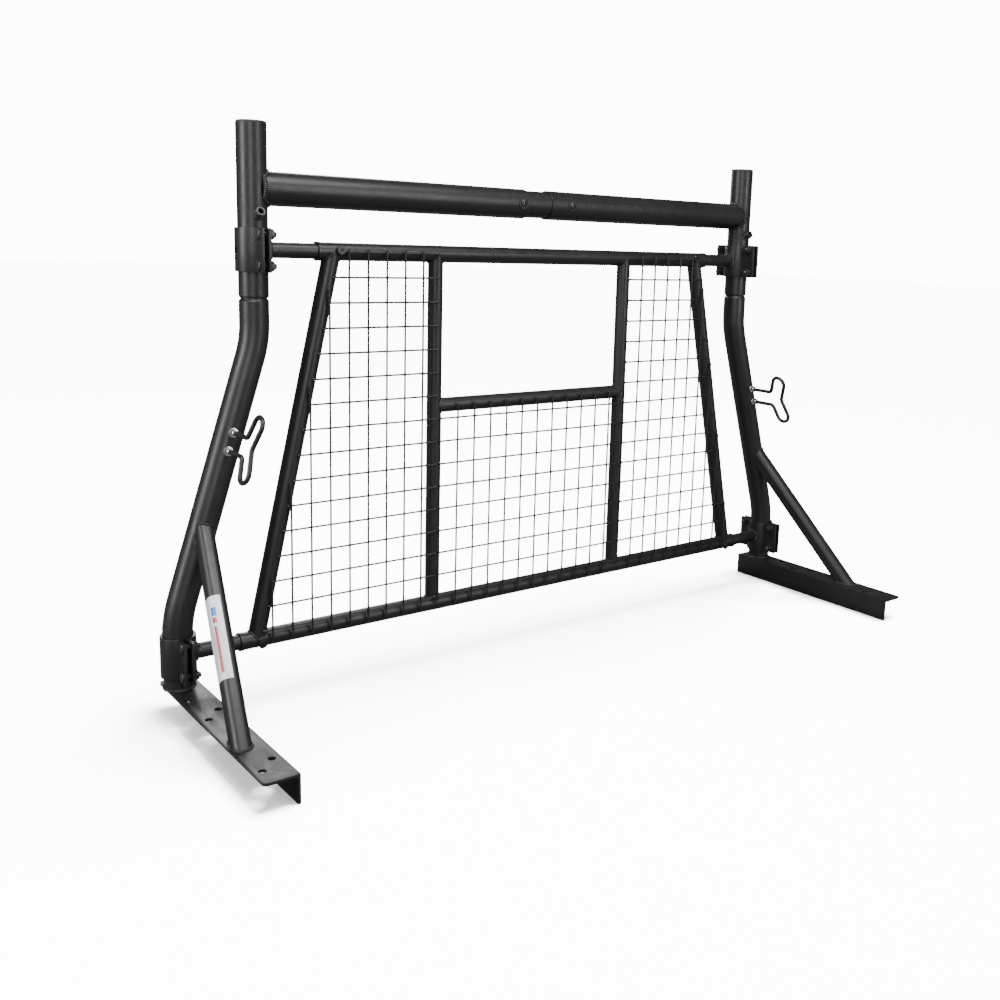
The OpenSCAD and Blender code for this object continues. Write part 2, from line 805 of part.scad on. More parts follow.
module left_base_angle() color("DimGray") on_side(-1) base_angle();
module left_leg() color("SlateGray") on_side(-1) leg();
module left_brace() color("LightSlateGray") on_side(-1) brace();
module left_brace_label() color("White") on_side(-1) brace_label();
module left_post() color("DarkSlateGray") on_side(-1) post();
module left_post_cap() color("Black") on_side(-1) post_cap();
module left_crossbar() color("Gray") in_plane() crossbar_left_tube();
module left_crossbar_bolt() color("Silver")
    in_plane() lock_bolt(left_lock_x, spigot_r - spigot_wall - 6);
module left_eye_boss() color("Black") on_side(-1) eye_boss();
module left_cleat() color("Black") on_side(-1) cleat_rod();
module left_cleat_nuts() color("Silver") on_side(-1) cleat_nuts();
module left_upper_clamp_outer() color("Gray") on_side(-1) clamp_outer(post_x, upper_z);
module left_upper_clamp_inner() color("DimGray") on_side(-1) clamp_inner(post_x, upper_z);
module left_upper_clamp_bolts() color("Silver") on_side(-1) clamp_bolts(post_x, upper_z);
module left_upper_clamp_nuts() color("Silver") on_side(-1) clamp_nuts(post_x, upper_z);
module left_upper_stub() color("SlateGray") on_side(-1) stub(post_x, upper_z, top_bar_x);
module left_lower_clamp_outer() color("Gray") on_side(-1) clamp_outer(foot_x, lower_z);
module left_lower_clamp_inner() color("DimGray") on_side(-1) clamp_inner(foot_x, lower_z);
module left_lower_clamp_bolts() color("Silver") on_side(-1) clamp_bolts(foot_x, lower_z);
module left_lower_clamp_nuts() color("Silver") on_side(-1) clamp_nuts(foot_x, lower_z);
module left_lower_stub() color("SlateGray") on_side(-1) stub(foot_x, lower_z, bottom_bar_x);

module right_base_angle() color("DimGray") on_side(1) base_angle();
module right_leg() color("SlateGray") on_side(1) leg();
module right_brace() color("LightSlateGray") on_side(1) brace();
module right_post() color("DarkSlateGray") on_side(1) post();
module right_post_cap() color("Black") on_side(1) post_cap();
module right_crossbar() color("Gray") in_plane() crossbar_right_tube();
module right_crossbar_bolt() color("Silver")
    in_plane() lock_bolt(right_lock_x, spigot_r + lock_tip_gap);
module right_eye_boss() color("Black") on_side(1) eye_boss();
module right_cleat() color("Black") on_side(1) cleat_rod();
module right_cleat_nuts() color("Silver") on_side(1) cleat_nuts();
module right_upper_clamp_outer() color("Gray") on_side(1) clamp_outer(post_x, upper_z);
module right_upper_clamp_inner() color("DimGray") on_side(1) clamp_inner(post_x, upper_z);
module right_upper_clamp_bolts() color("Silver") on_side(1) clamp_bolts(post_x, upper_z);
module right_upper_clamp_nuts() color("Silver") on_side(1) clamp_nuts(post_x, upper_z);
module right_upper_stub() color("SlateGray") on_side(1) stub(post_x, upper_z, top_bar_x);
module right_lower_clamp_outer() color("Gray") on_side(1) clamp_outer(foot_x, lower_z);
module right_lower_clamp_inner() color("DimGray") on_side(1) clamp_inner(foot_x, lower_z);
module right_lower_clamp_bolts() color("Silver") on_side(1) clamp_bolts(foot_x, lower_z);
module right_lower_clamp_nuts() color("Silver") on_side(1) clamp_nuts(foot_x, lower_z);
module right_lower_stub() color("SlateGray") on_side(1) stub(foot_x, lower_z, bottom_bar_x);

module cage_top_bar() color("DimGray") slide_bar(top_bar_x, upper_z, set_top_x, set_top_tilt);
module cage_bottom_bar() color("DimGray") slide_bar(bottom_bar_x, lower_z, set_bottom_x, set_bottom_tilt);
module cage_left_side_tube() color("Gray") side_tube(-1);
module cage_right_side_tube() color("Gray") side_tube(1);
module cage_left_upright() color("SlateGray") upright(-1);
module cage_right_upright() color("SlateGray") upright(1);
module cage_sill() color("LightSlateGray") sill_tube();
module mesh_left() color("Black") on_side(-1) side_mesh();
module mesh_right() color("Black") on_side(1) side_mesh();
module mesh_centre() color("Black") in_plane() centre_mesh();
module cage_set_nuts() color("Gray")
    in_plane() {
        set_places(set_top_x, upper_z, set_top_tilt) set_nut();
        set_places(set_bottom_x, lower_z, set_bottom_tilt) set_nut();
    }
module cage_set_bolts() color("Silver")
    in_plane() {
        set_places(set_top_x, upper_z, set_top_tilt) set_screw();
        set_places(set_bottom_x, lower_z, set_bottom_tilt) set_screw();
    }

left_base_angle();
left_leg();
left_brace();
left_brace_label();
left_post();
left_post_cap();
left_crossbar();
left_crossbar_bolt();
left_eye_boss();
left_cleat();
left_cleat_nuts();
left_upper_clamp_outer();
left_upper_clamp_inner();
left_upper_clamp_bolts();
left_upper_clamp_nuts();
left_upper_stub();
left_lower_clamp_outer();
left_lower_clamp_inner();
left_lower_clamp_bolts();
left_lower_clamp_nuts();
left_lower_stub();
right_base_angle();
right_leg();
right_brace();
right_post();
right_post_cap();
right_crossbar();
right_crossbar_bolt();
right_eye_boss();
right_cleat();
right_cleat_nuts();
right_upper_clamp_outer();
right_upper_clamp_inner();
right_upper_clamp_bolts();
right_upper_clamp_nuts();
right_upper_stub();
right_lower_clamp_outer();
right_lower_clamp_inner();
right_lower_clamp_bolts();
right_lower_clamp_nuts();
right_lower_stub();
cage_top_bar();
cage_bottom_bar();
cage_left_side_tube();
cage_right_side_tube();
cage_left_upright();
cage_right_upright();
cage_sill();
mesh_left();
mesh_right();
mesh_centre();
cage_set_nuts();
cage_set_bolts();
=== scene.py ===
# %% [markdown]
# # A telescoping truck-bed ladder rack, finished in black powder coat
#
# The steelwork was already built as an assembly of solids in millimetre-true places.
# This lesson loads it, and then adds what a fabricator and a coater would add: rounded
# plate edges, weld beads, chamfered nuts, threads, a vinyl label and the paint, with a moulded finish on the
# caps.

# %% Load the frame
import json
import math
import random

import bpy
from mathutils import Matrix, Vector


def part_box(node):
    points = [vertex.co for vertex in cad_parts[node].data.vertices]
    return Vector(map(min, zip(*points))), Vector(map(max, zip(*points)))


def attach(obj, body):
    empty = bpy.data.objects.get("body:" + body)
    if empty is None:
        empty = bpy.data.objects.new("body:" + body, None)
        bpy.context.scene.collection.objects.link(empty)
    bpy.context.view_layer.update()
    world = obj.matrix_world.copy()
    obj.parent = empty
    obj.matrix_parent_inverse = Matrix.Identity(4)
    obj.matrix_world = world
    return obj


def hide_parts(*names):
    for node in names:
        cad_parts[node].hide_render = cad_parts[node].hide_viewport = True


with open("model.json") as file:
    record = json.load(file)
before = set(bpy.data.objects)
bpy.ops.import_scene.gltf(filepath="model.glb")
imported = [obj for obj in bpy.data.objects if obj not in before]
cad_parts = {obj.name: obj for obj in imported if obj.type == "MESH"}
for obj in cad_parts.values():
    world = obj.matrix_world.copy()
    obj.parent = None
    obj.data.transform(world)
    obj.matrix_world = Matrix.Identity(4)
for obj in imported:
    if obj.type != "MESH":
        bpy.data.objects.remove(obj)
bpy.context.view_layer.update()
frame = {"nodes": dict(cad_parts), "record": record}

bpy.ops.object.select_all(action="DESELECT")

# %% [markdown]
# ## Camera
#
# The rack stands on its own in a white studio. The camera sits behind the truck's left
# side, a little above the middle of the rack, and looks slightly down. A short lens from
# about two metres away makes the near tower tall and the far one small. It could be aimed
# with a constraint, but a heading, a dip and a roll say exactly where it points.

# %% Camera
SENSOR_MM, LENS_MM = 36, 38.97
SHIFT_X, SHIFT_Y = -0.0602, -0.0601
EYE_X, EYE_BACK, EYE_Z = -1.4116, 1.8636, 0.8585    # back is measured from the towers
TOWER_Y = (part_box("left_leg")[0].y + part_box("left_leg")[1].y) / 2
HEADING = math.radians(38.74)      # from +Y towards +X
DIP = math.radians(10.23)
ROLL = math.radians(1.87)

ahead = Vector((math.sin(HEADING) * math.cos(DIP), math.cos(HEADING) * math.cos(DIP), -math.sin(DIP)))
level = Vector((math.cos(HEADING), -math.sin(HEADING), 0))
above = level.cross(ahead)
right = level * math.cos(ROLL) + above * math.sin(ROLL)
up = above * math.cos(ROLL) - level * math.sin(ROLL)

bpy.ops.object.camera_add()
camera = bpy.context.object
camera.name = "studio_camera"
camera.data.sensor_width = SENSOR_MM
camera.data.lens = LENS_MM
camera.data.shift_x = SHIFT_X
camera.data.shift_y = SHIFT_Y
camera.matrix_world = Matrix((
    (right.x, up.x, -ahead.x, EYE_X),
    (right.y, up.y, -ahead.y, TOWER_Y - EYE_BACK),
    (right.z, up.z, -ahead.z, EYE_Z),
    (0, 0, 0, 1)))
bpy.context.scene.camera = camera
print("camera", [round(v, 3) for v in camera.location])

# %% [markdown]
# ## Studio
#
# A pale floor that runs out of sight, a white world for the even fill of a packshot, and
# large soft boxes. Long soft boxes matter most here: black tubes show almost nothing of
# their own colour, so their shape is read from the long highlights that the boxes leave.
# The floor and the world are bright when the camera sees them and dim in every reflection
# and bounce, because a white room would turn black steel grey.

# %% Floor and world
FLOOR_SEEN, FLOOR_MIRRORED = 0.92, 0.02
WORLD_SEEN, WORLD_FILL = 13, 0.13


def deselect():
    bpy.ops.object.select_all(action="DESELECT")


def shader_of(material):
    return next(n for n in material.node_tree.nodes if n.type == "BSDF_PRINCIPLED")


def seen_by_camera(tree, when_seen, otherwise):
    ray = tree.nodes.new("ShaderNodeLightPath")
    choice = tree.nodes.new("ShaderNodeMapRange")
    choice.inputs["To Min"].default_value = otherwise
    choice.inputs["To Max"].default_value = when_seen
    tree.links.new(ray.outputs["Is Camera Ray"], choice.inputs["Value"])
    return choice.outputs["Result"]


deselect()
bpy.ops.mesh.primitive_plane_add(size=60)
floor = bpy.context.object
floor.name = "floor"
floor_paint = bpy.data.materials.new("studio_floor")
floor_paint.use_nodes = True
floor_tree = floor_paint.node_tree
floor_tint = floor_tree.nodes.new("ShaderNodeCombineColor")
for channel in ("Red", "Green", "Blue"):
    floor_tree.links.new(seen_by_camera(floor_tree, FLOOR_SEEN, FLOOR_MIRRORED), floor_tint.inputs[channel])
floor_tree.links.new(floor_tint.outputs["Color"], shader_of(floor_paint).inputs["Base Color"])
shader_of(floor_paint).inputs["Roughness"].default_value = 0.9
shader_of(floor_paint).inputs["Specular IOR Level"].default_value = 0
floor.data.materials.append(floor_paint)

world = bpy.data.worlds.new("studio_white")
world.use_nodes = True
backdrop = world.node_tree.nodes["Background"]
backdrop.inputs["Color"].default_value = (1, 1, 1, 1)
glow = seen_by_camera(world.node_tree, WORLD_SEEN, WORLD_FILL)
world.node_tree.links.new(glow, backdrop.inputs["Strength"])
bpy.context.scene.world = world
print("stage", floor.name, world.name)

# %% [markdown]
# The floor has a lamp of its own. Light linking keeps it off the rack, so the floor can
# be white paper while the black steel keeps its depth, and it still drops a soft shadow.
# The boxes above, beside and behind the rack then draw the highlights on its tubes.

# %% Lamps
def soft_box(name, place, aim, width, height, watts):
    bpy.ops.object.light_add(type="AREA", location=place)
    lamp = bpy.context.object
    lamp.name = name
    lamp.data.shape = "RECTANGLE"
    lamp.data.size, lamp.data.size_y = width, height
    lamp.data.energy = watts
    lamp.rotation_euler = (Vector(aim) - Vector(place)).to_track_quat("-Z", "Y").to_euler()


floor_only = bpy.data.collections.new("floor_only")
floor_only.objects.link(floor)
bpy.ops.object.light_add(type="SUN", location=(1.5, 0.6, 3))
floor_lamp = bpy.context.object
floor_lamp.name = "floor_lamp"
floor_lamp.data.energy = 42
floor_lamp.data.angle = math.radians(36)
floor_lamp.rotation_euler = Vector((-1.0, -0.2, -2.6)).to_track_quat("-Z", "Y").to_euler()
floor_lamp.light_linking.receiver_collection = floor_only

soft_box("key_overhead", (-0.4, -0.9, 3.0), (0, 0.1, 0.5), 2.4, 0.6, 95)
soft_box("strip_left", (-3.2, 0.2, 1.6), (-0.4, 0.1, 0.7), 0.8, 2.6, 85)
soft_box("strip_behind_camera", (-2.6, -3.4, 1.8), (0, 0.1, 0.6), 1.1, 2.4, 62)
soft_box("strip_right", (1.6, -3.6, 1.7), (0.3, 0.1, 0.6), 0.8, 2.6, 70)
soft_box("strip_behind_rack", (0.8, 3.4, 2.2), (0, 0.1, 0.6), 1.6, 2.0, 75)

# %% [markdown]
# ## Powder coat
#
# The frame is sprayed with black powder and baked. It sets to a satin skin with a fine
# orange peel, a dusty haze and a little unevenness in its gloss. Three noises do that: a
# coarse one tints the black, a middle one moves the roughness about, and a fine one raises
# the skin as bump. A perfectly even black would hide the tubes, because a black part is
# seen only by what it mirrors.

# %% Coat
def new_material(name):
    material = bpy.data.materials.new(name)
    material.use_nodes = True
    return material, material.node_tree, shader_of(material)


def noise(tree, place, scale, detail=2.0):
    node = tree.nodes.new("ShaderNodeTexNoise")
    node.inputs["Scale"].default_value = scale
    node.inputs["Detail"].default_value = detail
    tree.links.new(place, node.inputs["Vector"])
    return node.outputs["Fac"]


def spread(tree, value, low, high, start=0.3, end=0.7):
    node = tree.nodes.new("ShaderNodeMapRange")
    node.inputs["From Min"].default_value = start
    node.inputs["From Max"].default_value = end
    node.inputs["To Min"].default_value = low
    node.inputs["To Max"].default_value = high
    tree.links.new(value, node.inputs["Value"])
    return node.outputs["Result"]


def blend_colours(tree, share, one, other):
    node = tree.nodes.new("ShaderNodeMix")
    node.data_type = "RGBA"
    node.inputs["A"].default_value = (*one, 1)
    node.inputs["B"].default_value = (*other, 1)
    tree.links.new(share, node.inputs["Factor"])
    return node.outputs["Result"]


def raise_skin(tree, shader, height, depth, strength):
    node = tree.nodes.new("ShaderNodeBump")
    node.inputs["Distance"].default_value = depth
    node.inputs["Strength"].default_value = strength
    tree.links.new(height, node.inputs["Height"])
    tree.links.new(node.outputs["Normal"], shader.inputs["Normal"])


def coat(name, shade, dusty, gloss, peel_per_metre, peel_depth):
    material, tree, shader = new_material(name)
    place = tree.nodes.new("ShaderNodeTexCoord").outputs["Object"]
    haze = spread(tree, noise(tree, place, 9, 4), 0, 1)
    tree.links.new(blend_colours(tree, haze, shade, dusty), shader.inputs["Base Color"])
    tree.links.new(spread(tree, noise(tree, place, 38, 5), *gloss), shader.inputs["Roughness"])
    raise_skin(tree, shader, noise(tree, place, peel_per_metre, 1.5), peel_depth, 0.35)
    return material


frame_coat = coat("satin_black_coat", shade=(0.0075, 0.0078, 0.0082), dusty=(0.012, 0.0123, 0.013),
                  gloss=(0.34, 0.44), peel_per_metre=620, peel_depth=0.0005)
mesh_coat = coat("mesh_black_coat", shade=(0.008, 0.008, 0.0085), dusty=(0.013, 0.013, 0.0135),
                 gloss=(0.30, 0.42), peel_per_metre=900, peel_depth=0.0003)
black_zinc = coat("black_zinc_plate", shade=(0.012, 0.012, 0.013), dusty=(0.030, 0.029, 0.028),
                  gloss=(0.22, 0.38), peel_per_metre=1400, peel_depth=0.0002)
cap_plastic = coat("moulded_cap", shade=(0.012, 0.012, 0.0125), dusty=(0.018, 0.018, 0.019),
                   gloss=(0.42, 0.55), peel_per_metre=1500, peel_depth=0.0004)
print("coats", [m.name for m in (frame_coat, mesh_coat, black_zinc, cap_plastic)])

# %% [markdown]
# ## Bright zinc
#
# The cleats' nuts are zinc plated and not painted, so they sparkle against the black.
# Plating follows the grain of the steel, so a cell texture gives each small facet its own
# brightness and tilt, and a noise dulls them where fingers and dust have been.

# %% Zinc
GRAINS_PER_METRE = 700


def zinc_plate(name):
    material, tree, shader = new_material(name)
    place = tree.nodes.new("ShaderNodeTexCoord").outputs["Object"]
    grain = tree.nodes.new("ShaderNodeTexVoronoi")
    grain.inputs["Scale"].default_value = GRAINS_PER_METRE
    tree.links.new(place, grain.inputs["Vector"])
    plating = blend_colours(tree, grain.outputs["Distance"], (0.80, 0.81, 0.83), (0.55, 0.56, 0.58))
    tree.links.new(plating, shader.inputs["Base Color"])
    tree.links.new(spread(tree, noise(tree, place, 160, 3), 0.14, 0.34), shader.inputs["Roughness"])
    raise_skin(tree, shader, grain.outputs["Distance"], 0.0001, 0.25)
    shader.inputs["Metallic"].default_value = 1
    return material


bright_zinc = zinc_plate("bright_zinc_plate")
print("zinc", bright_zinc.name)

# %% [markdown]
# ## Measures
#
# The finishes and the welds need the lines that the tubes run along. Most are the middle
# or the edge of a node's box. The rest repeat a driving size of the rack, in metres.

# %% Measures
def middle_of(node):
    low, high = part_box(node)
    return (low + high) / 2


CLAMP_SHELL = 0.0051        # clamp plate with its clearance round the tube
POST_TO_FOOT = 0.154        # the feet stand wider than the posts
BAR_TO_CROSSBAR = 0.107
BAR_TO_KNEE = 0.160
BRACE_RISE, BRACE_REACH, BRACE_SPLAY = 0.272, 0.284, 0.0016

UP, DOWN, ACROSS = Vector((0, 0, 1)), Vector((0, 0, -1)), Vector((1, 0, 0))
TUBE_R = (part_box("left_post")[1].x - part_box("left_post")[0].x) / 2
CLAMP_R = TUBE_R + CLAMP_SHELL
CROSSBAR_R = 0.03015
POST_X = middle_of("right_post").x
FOOT_X = POST_X + POST_TO_FOOT
UPPER_Z = middle_of("cage_top_bar").z
LOWER_Z = middle_of("cage_bottom_bar").z
CROSSBAR_Z = UPPER_Z + BAR_TO_CROSSBAR
STUB_R = (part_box("left_upper_stub")[1].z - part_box("left_upper_stub")[0].z) / 2
FLANGE_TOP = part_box("left_base_angle")[1].z
ANKLE_Z, KNEE_Z = 0.178, UPPER_Z - BAR_TO_KNEE
BRACE_TOP_Z = FLANGE_TOP + BRACE_RISE


def leg_line(s, z):
    return Vector((s * (FOOT_X - (z - ANKLE_Z) * (FOOT_X - POST_X) / (KNEE_Z - ANKLE_Z)), TOWER_Y, z))


def brace_ends(s):
    top = leg_line(s, BRACE_TOP_Z) - Vector((0, TUBE_R, 0))
    return top, Vector((s * (FOOT_X + BRACE_SPLAY), TOWER_Y - BRACE_REACH, FLANGE_TOP))


print("tube radius", round(TUBE_R, 4), "posts", round(POST_X, 3), "feet", round(FOOT_X, 3))

# %% [markdown]
# ## Printed label
#
# A vinyl label is wrapped round the outer rear corner of the left brace. Its print is a
# plain one: a blue block and a small red block at the top, a long red band and a thin blue
# rule beside it. The pattern has to lie along a leaning tube, so the object coordinates
# are first turned into the brace's own frame with a Mapping node. Comparisons in the
# turned coordinates then draw the print.

# %% Label
LABEL_MIDDLE = 0.194        # from the brace's top, along it
CORNER_OUT, CORNER_BACK = 0.003, 0.006
BLUE_BLOCK, RED_BLOCK, RED_BAND, BLUE_RULE = (
    # place and half length along the brace, place and half width across it, ink
    ((0.047, 0.008), (0, 0.0042), (0.02, 0.16, 0.48)),
    ((0.031, 0.005), (0, 0.0036), (0.46, 0.016, 0.012)),
    ((-0.022, 0.042), (0, 0.0026), (0.42, 0.012, 0.010)),
    ((-0.012, 0.024), (-0.0058, 0.0009), (0.25, 0.40, 0.62)))


def label_print(name, centre, radial, along):
    material, tree, shader = new_material(name)
    coords = tree.nodes.new("ShaderNodeTexCoord")
    turn = tree.nodes.new("ShaderNodeMapping")
    turn.vector_type = "TEXTURE"
    turn.inputs["Location"].default_value = centre
    own_axes = Matrix((radial, along.cross(radial), along)).transposed()
    turn.inputs["Rotation"].default_value = own_axes.to_euler()
    tree.links.new(coords.outputs["Object"], turn.inputs["Vector"])
    axes = tree.nodes.new("ShaderNodeSeparateXYZ")
    tree.links.new(turn.outputs["Vector"], axes.inputs["Vector"])

    def within(axis, middle, half):
        node = tree.nodes.new("ShaderNodeMath")
        node.operation = "COMPARE"
        node.inputs[1].default_value = middle
        node.inputs[2].default_value = half
        tree.links.new(axes.outputs[axis], node.inputs[0])
        return node.outputs["Value"]

    def both(one, other):
        node = tree.nodes.new("ShaderNodeMath")
        node.operation = "MULTIPLY"
        tree.links.new(one, node.inputs[0])
        tree.links.new(other, node.inputs[1])
        return node.outputs["Value"]

    def printed(under, share, colour):
        node = tree.nodes.new("ShaderNodeMix")
        node.data_type = "RGBA"
        node.inputs["B"].default_value = (*colour, 1)
        tree.links.new(share, node.inputs["Factor"])
        tree.links.new(under, node.inputs["A"])
        return node.outputs["Result"]

    place = coords.outputs["Object"]
    film = blend_colours(tree, noise(tree, place, 60, 3), (0.82, 0.84, 0.87), (0.74, 0.76, 0.80))
    for length, width, ink in (RED_BAND, BLUE_RULE, RED_BLOCK, BLUE_BLOCK):
        film = printed(film, both(within("Z", *length), within("Y", *width)), ink)
    tree.links.new(film, shader.inputs["Base Color"])
    tree.links.new(spread(tree, noise(tree, place, 90, 3), 0.16, 0.30), shader.inputs["Roughness"])
    raise_skin(tree, shader, noise(tree, place, 240, 2), 0.0003, 0.12)
    return material


brace_top, brace_foot = brace_ends(-1)
brace_run = (brace_foot - brace_top).normalized()
outboard = Vector((-1, 0, 0))
outboard = (outboard - brace_run * outboard.dot(brace_run)).normalized()
rearward = brace_run.cross(outboard)
if rearward.y > 0:
    rearward.negate()
label_corner = brace_top + brace_run * LABEL_MIDDLE + outboard * CORNER_OUT + rearward * CORNER_BACK
label_film = label_print("vinyl_label", label_corner, (outboard + rearward).normalized(), -brace_run)
print("label corner", [round(v, 3) for v in label_corner])

# %% [markdown]
# ## Finishes on the CAD parts
#
# The record names a slot for every node, so the slot decides the finish. Pieces that are
# added later, such as threads and welds, take the finish of the part they belong to.

# %% Finishes by slot
finish_of = {"frame_powder_coat": frame_coat, "mesh_powder_coat": mesh_coat, "dark_hardware": black_zinc,
             "zinc_hardware": bright_zinc, "cap_plastic": cap_plastic, "label_film": label_film}
slot_of = {row["node"]: row["material_slot"] for row in frame["record"]["subparts"]}
body_of = {n: body for body, members in frame["record"]["behaviour"]["bodies"].items() for n in members}
for node_name, node_object in frame["nodes"].items():
    node_object.data.materials.clear()
    node_object.data.materials.append(finish_of[slot_of[node_name]])
print("finished", len(slot_of), "nodes")

# %% [markdown]
# ## Handing a piece over
#
# Every new piece ends the same way: its place goes into its mesh, its curved faces are
# smoothed and its sharp edges kept, and it is told which body carries it.

# %% Piece helper
SHARP_FROM = math.radians(32)


def pick(*objects):
    deselect()
    for item in objects:
        item.select_set(True)
    bpy.context.view_layer.objects.active = objects[-1]


def deliver(piece, name, body, slot, *stands_for):
    pick(piece)
    bpy.ops.object.transform_apply(location=True, rotation=True, scale=True)
    bpy.ops.object.shade_smooth_by_angle(angle=SHARP_FROM)
    piece.name = name
    piece.data.name = name
    piece.data.materials.clear()
    piece.data.materials.append(finish_of[slot])
    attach(piece, body)
    if stands_for:
        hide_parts(*stands_for)
    return len(piece.data.polygons)


def apply_modifiers(piece):
    pick(piece)
    for modifier in list(piece.modifiers):
        bpy.ops.object.modifier_apply(modifier=modifier.name)


print("helpers ready")

# %% [markdown]
# ## Plates with rounded edges
#
# The base angles are folded plate and the clamps are pressed plate. Shears and presses
# leave a small radius on every edge, and the coat rounds it further, so each edge shows a
# thin bright line. The CAD solids are exactly right but their edges are razor sharp. A
# copy of each is merged and its flat faces dissolved, and a bevel rounds its edges.

# %% Rounded plates
BASE_EDGE, CLAMP_EDGE = 0.0009, 0.0011


def rounded_copy(node, radius):
    source = frame["nodes"][node]
    plate = bpy.data.objects.new(node + "_plate", source.data.copy())
    bpy.context.scene.collection.objects.link(plate)
    pick(plate)
    bpy.ops.object.mode_set(mode="EDIT")
    bpy.ops.mesh.select_all(action="SELECT")
    bpy.ops.mesh.remove_doubles(threshold=0.00001)
    bpy.ops.mesh.dissolve_limited(angle_limit=math.radians(1))
    bpy.ops.object.mode_set(mode="OBJECT")
    edge = plate.modifiers.new("edge_radius", "BEVEL")
    edge.width = radius
    edge.segments = 3
    edge.limit_method = "ANGLE"
    edge.angle_limit = math.radians(40)
    edge.use_clamp_overlap = True
    apply_modifiers(plate)
    return deliver(plate, node + "_plate", body_of[node], slot_of[node], node)


for side in ("left", "right"):
    print(side, "base angle", rounded_copy(side + "_base_angle", BASE_EDGE), "faces")
    for level in ("upper", "lower"):
        for half in ("outer", "inner"):
            node = f"{side}_{level}_clamp_{half}"
            print(node, rounded_copy(node, CLAMP_EDGE), "faces")

# %% [markdown]
# ## Hexagon nuts
#
# A hexagon nut is cut from bar and its corners are turned off at both faces, which leaves
# the six curved bites that make it look like a nut. A boolean with a turned blank gives
# those bites exactly. One nut with its washer is made for each size, then copied.

# %% One nut and washer
def rim_bevel(piece, offset, segments):
    pick(piece)
    top = max(v.co.z for v in piece.data.vertices)
    bottom = min(v.co.z for v in piece.data.vertices)
    bpy.ops.object.mode_set(mode="EDIT")
    bpy.ops.mesh.select_mode(type="EDGE")
    bpy.ops.mesh.select_all(action="DESELECT")
    bpy.ops.object.mode_set(mode="OBJECT")
    for edge in piece.data.edges:
        ends = [piece.data.vertices[i].co.z for i in edge.vertices]
        edge.select = all(abs(z - top) < 1e-6 for z in ends) or all(abs(z - bottom) < 1e-6 for z in ends)
    bpy.ops.object.mode_set(mode="EDIT")
    bpy.ops.mesh.bevel(offset=offset, segments=segments, affect="EDGES")
    bpy.ops.object.mode_set(mode="OBJECT")


def round_bar(radius, length, z, corners=48):
    deselect()
    bpy.ops.mesh.primitive_cylinder_add(vertices=corners, radius=radius, depth=length,
                                        location=(0, 0, z))
    bpy.ops.object.transform_apply(location=True, rotation=True, scale=True)
    return bpy.context.object


def carve(piece, tool, operation):
    cut = piece.modifiers.new("cut", "BOOLEAN")
    cut.operation = operation
    cut.object = tool
    cut.solver = "EXACT"
    apply_modifiers(piece)
    bpy.data.objects.remove(tool)


def nut_and_washer(across, tall, bore, washer_r, washer_t):
    middle = washer_t + tall / 2
    nut = round_bar(across / math.sqrt(3), tall, middle, 6)
    blank = round_bar(across / math.sqrt(3) - 0.0001, tall * 1.02, middle)
    rim_bevel(blank, across * 0.07, 2)
    carve(nut, blank, "INTERSECT")
    carve(nut, round_bar(bore, 4 * tall, 0, 32), "DIFFERENCE")
    washer = round_bar(washer_r, washer_t, washer_t / 2)
    rim_bevel(washer, washer_t * 0.25, 2)
    carve(washer, round_bar(bore, 4 * tall, 0, 32), "DIFFERENCE")
    pick(washer, nut)
    bpy.ops.object.join()
    return nut


CLAMP_WASHER_R = 0.010
CLEAT_WASHER_R = 0.0085
clamp_nut = nut_and_washer(across=0.016, tall=0.008, bore=0.00505,
                           washer_r=CLAMP_WASHER_R, washer_t=0.0018)
cleat_nut = nut_and_washer(across=0.014, tall=0.0065, bore=0.00455,
                           washer_r=CLEAT_WASHER_R, washer_t=0.0016)
print("nut faces", len(clamp_nut.data.polygons), len(cleat_nut.data.polygons))

# %% [markdown]
# ## Threads
#
# Each bolt shows a few turns of thread past its nut. A triangle is swept round the shank
# by a Screw modifier, one pitch per turn, and its two open ends are closed.

# %% One thread
def thread_turns(radius, pitch, turns):
    deselect()
    bpy.ops.mesh.primitive_circle_add(vertices=3, radius=pitch * 0.5, location=(radius, 0, 0),
                                      rotation=(math.pi / 2, 0, 0))
    ridge = bpy.context.object
    bpy.ops.object.transform_apply(location=True, rotation=True, scale=True)
    sweep = ridge.modifiers.new("helix", "SCREW")
    sweep.axis = "Z"
    sweep.screw_offset = pitch
    sweep.iterations = turns
    sweep.steps = 20
    sweep.render_steps = 20
    apply_modifiers(ridge)
    bpy.ops.object.mode_set(mode="EDIT")
    bpy.ops.mesh.select_all(action="SELECT")
    bpy.ops.mesh.fill_holes(sides=3)
    bpy.ops.mesh.normals_make_consistent(inside=False)
    bpy.ops.object.mode_set(mode="OBJECT")
    return ridge


clamp_thread = thread_turns(radius=0.0049, pitch=0.0012, turns=3)
cleat_thread = thread_turns(radius=0.0044, pitch=0.0009, turns=3)
print("thread faces", len(clamp_thread.data.polygons))

# %% [markdown]
# ## Nuts and threads in place
#
# Each group's place is read from its CAD node: the node's box is as large as the four
# washers and nuts, so the bolt axes lie one washer radius in from its sides.

# %% Place the nuts
CLEAT_STACK = 0.0081        # a cleat's nut and washer together


def placed(pattern, place, facing):
    turned = bpy.data.objects.new("turned", pattern.data.copy())
    bpy.context.scene.collection.objects.link(turned)
    quarter = facing.to_track_quat("Z", "Y").to_matrix().to_4x4()
    turned.data.transform(Matrix.Translation(place) @ quarter)
    return turned


def joined(pieces):
    pick(*pieces)
    bpy.ops.object.join()
    return bpy.context.object


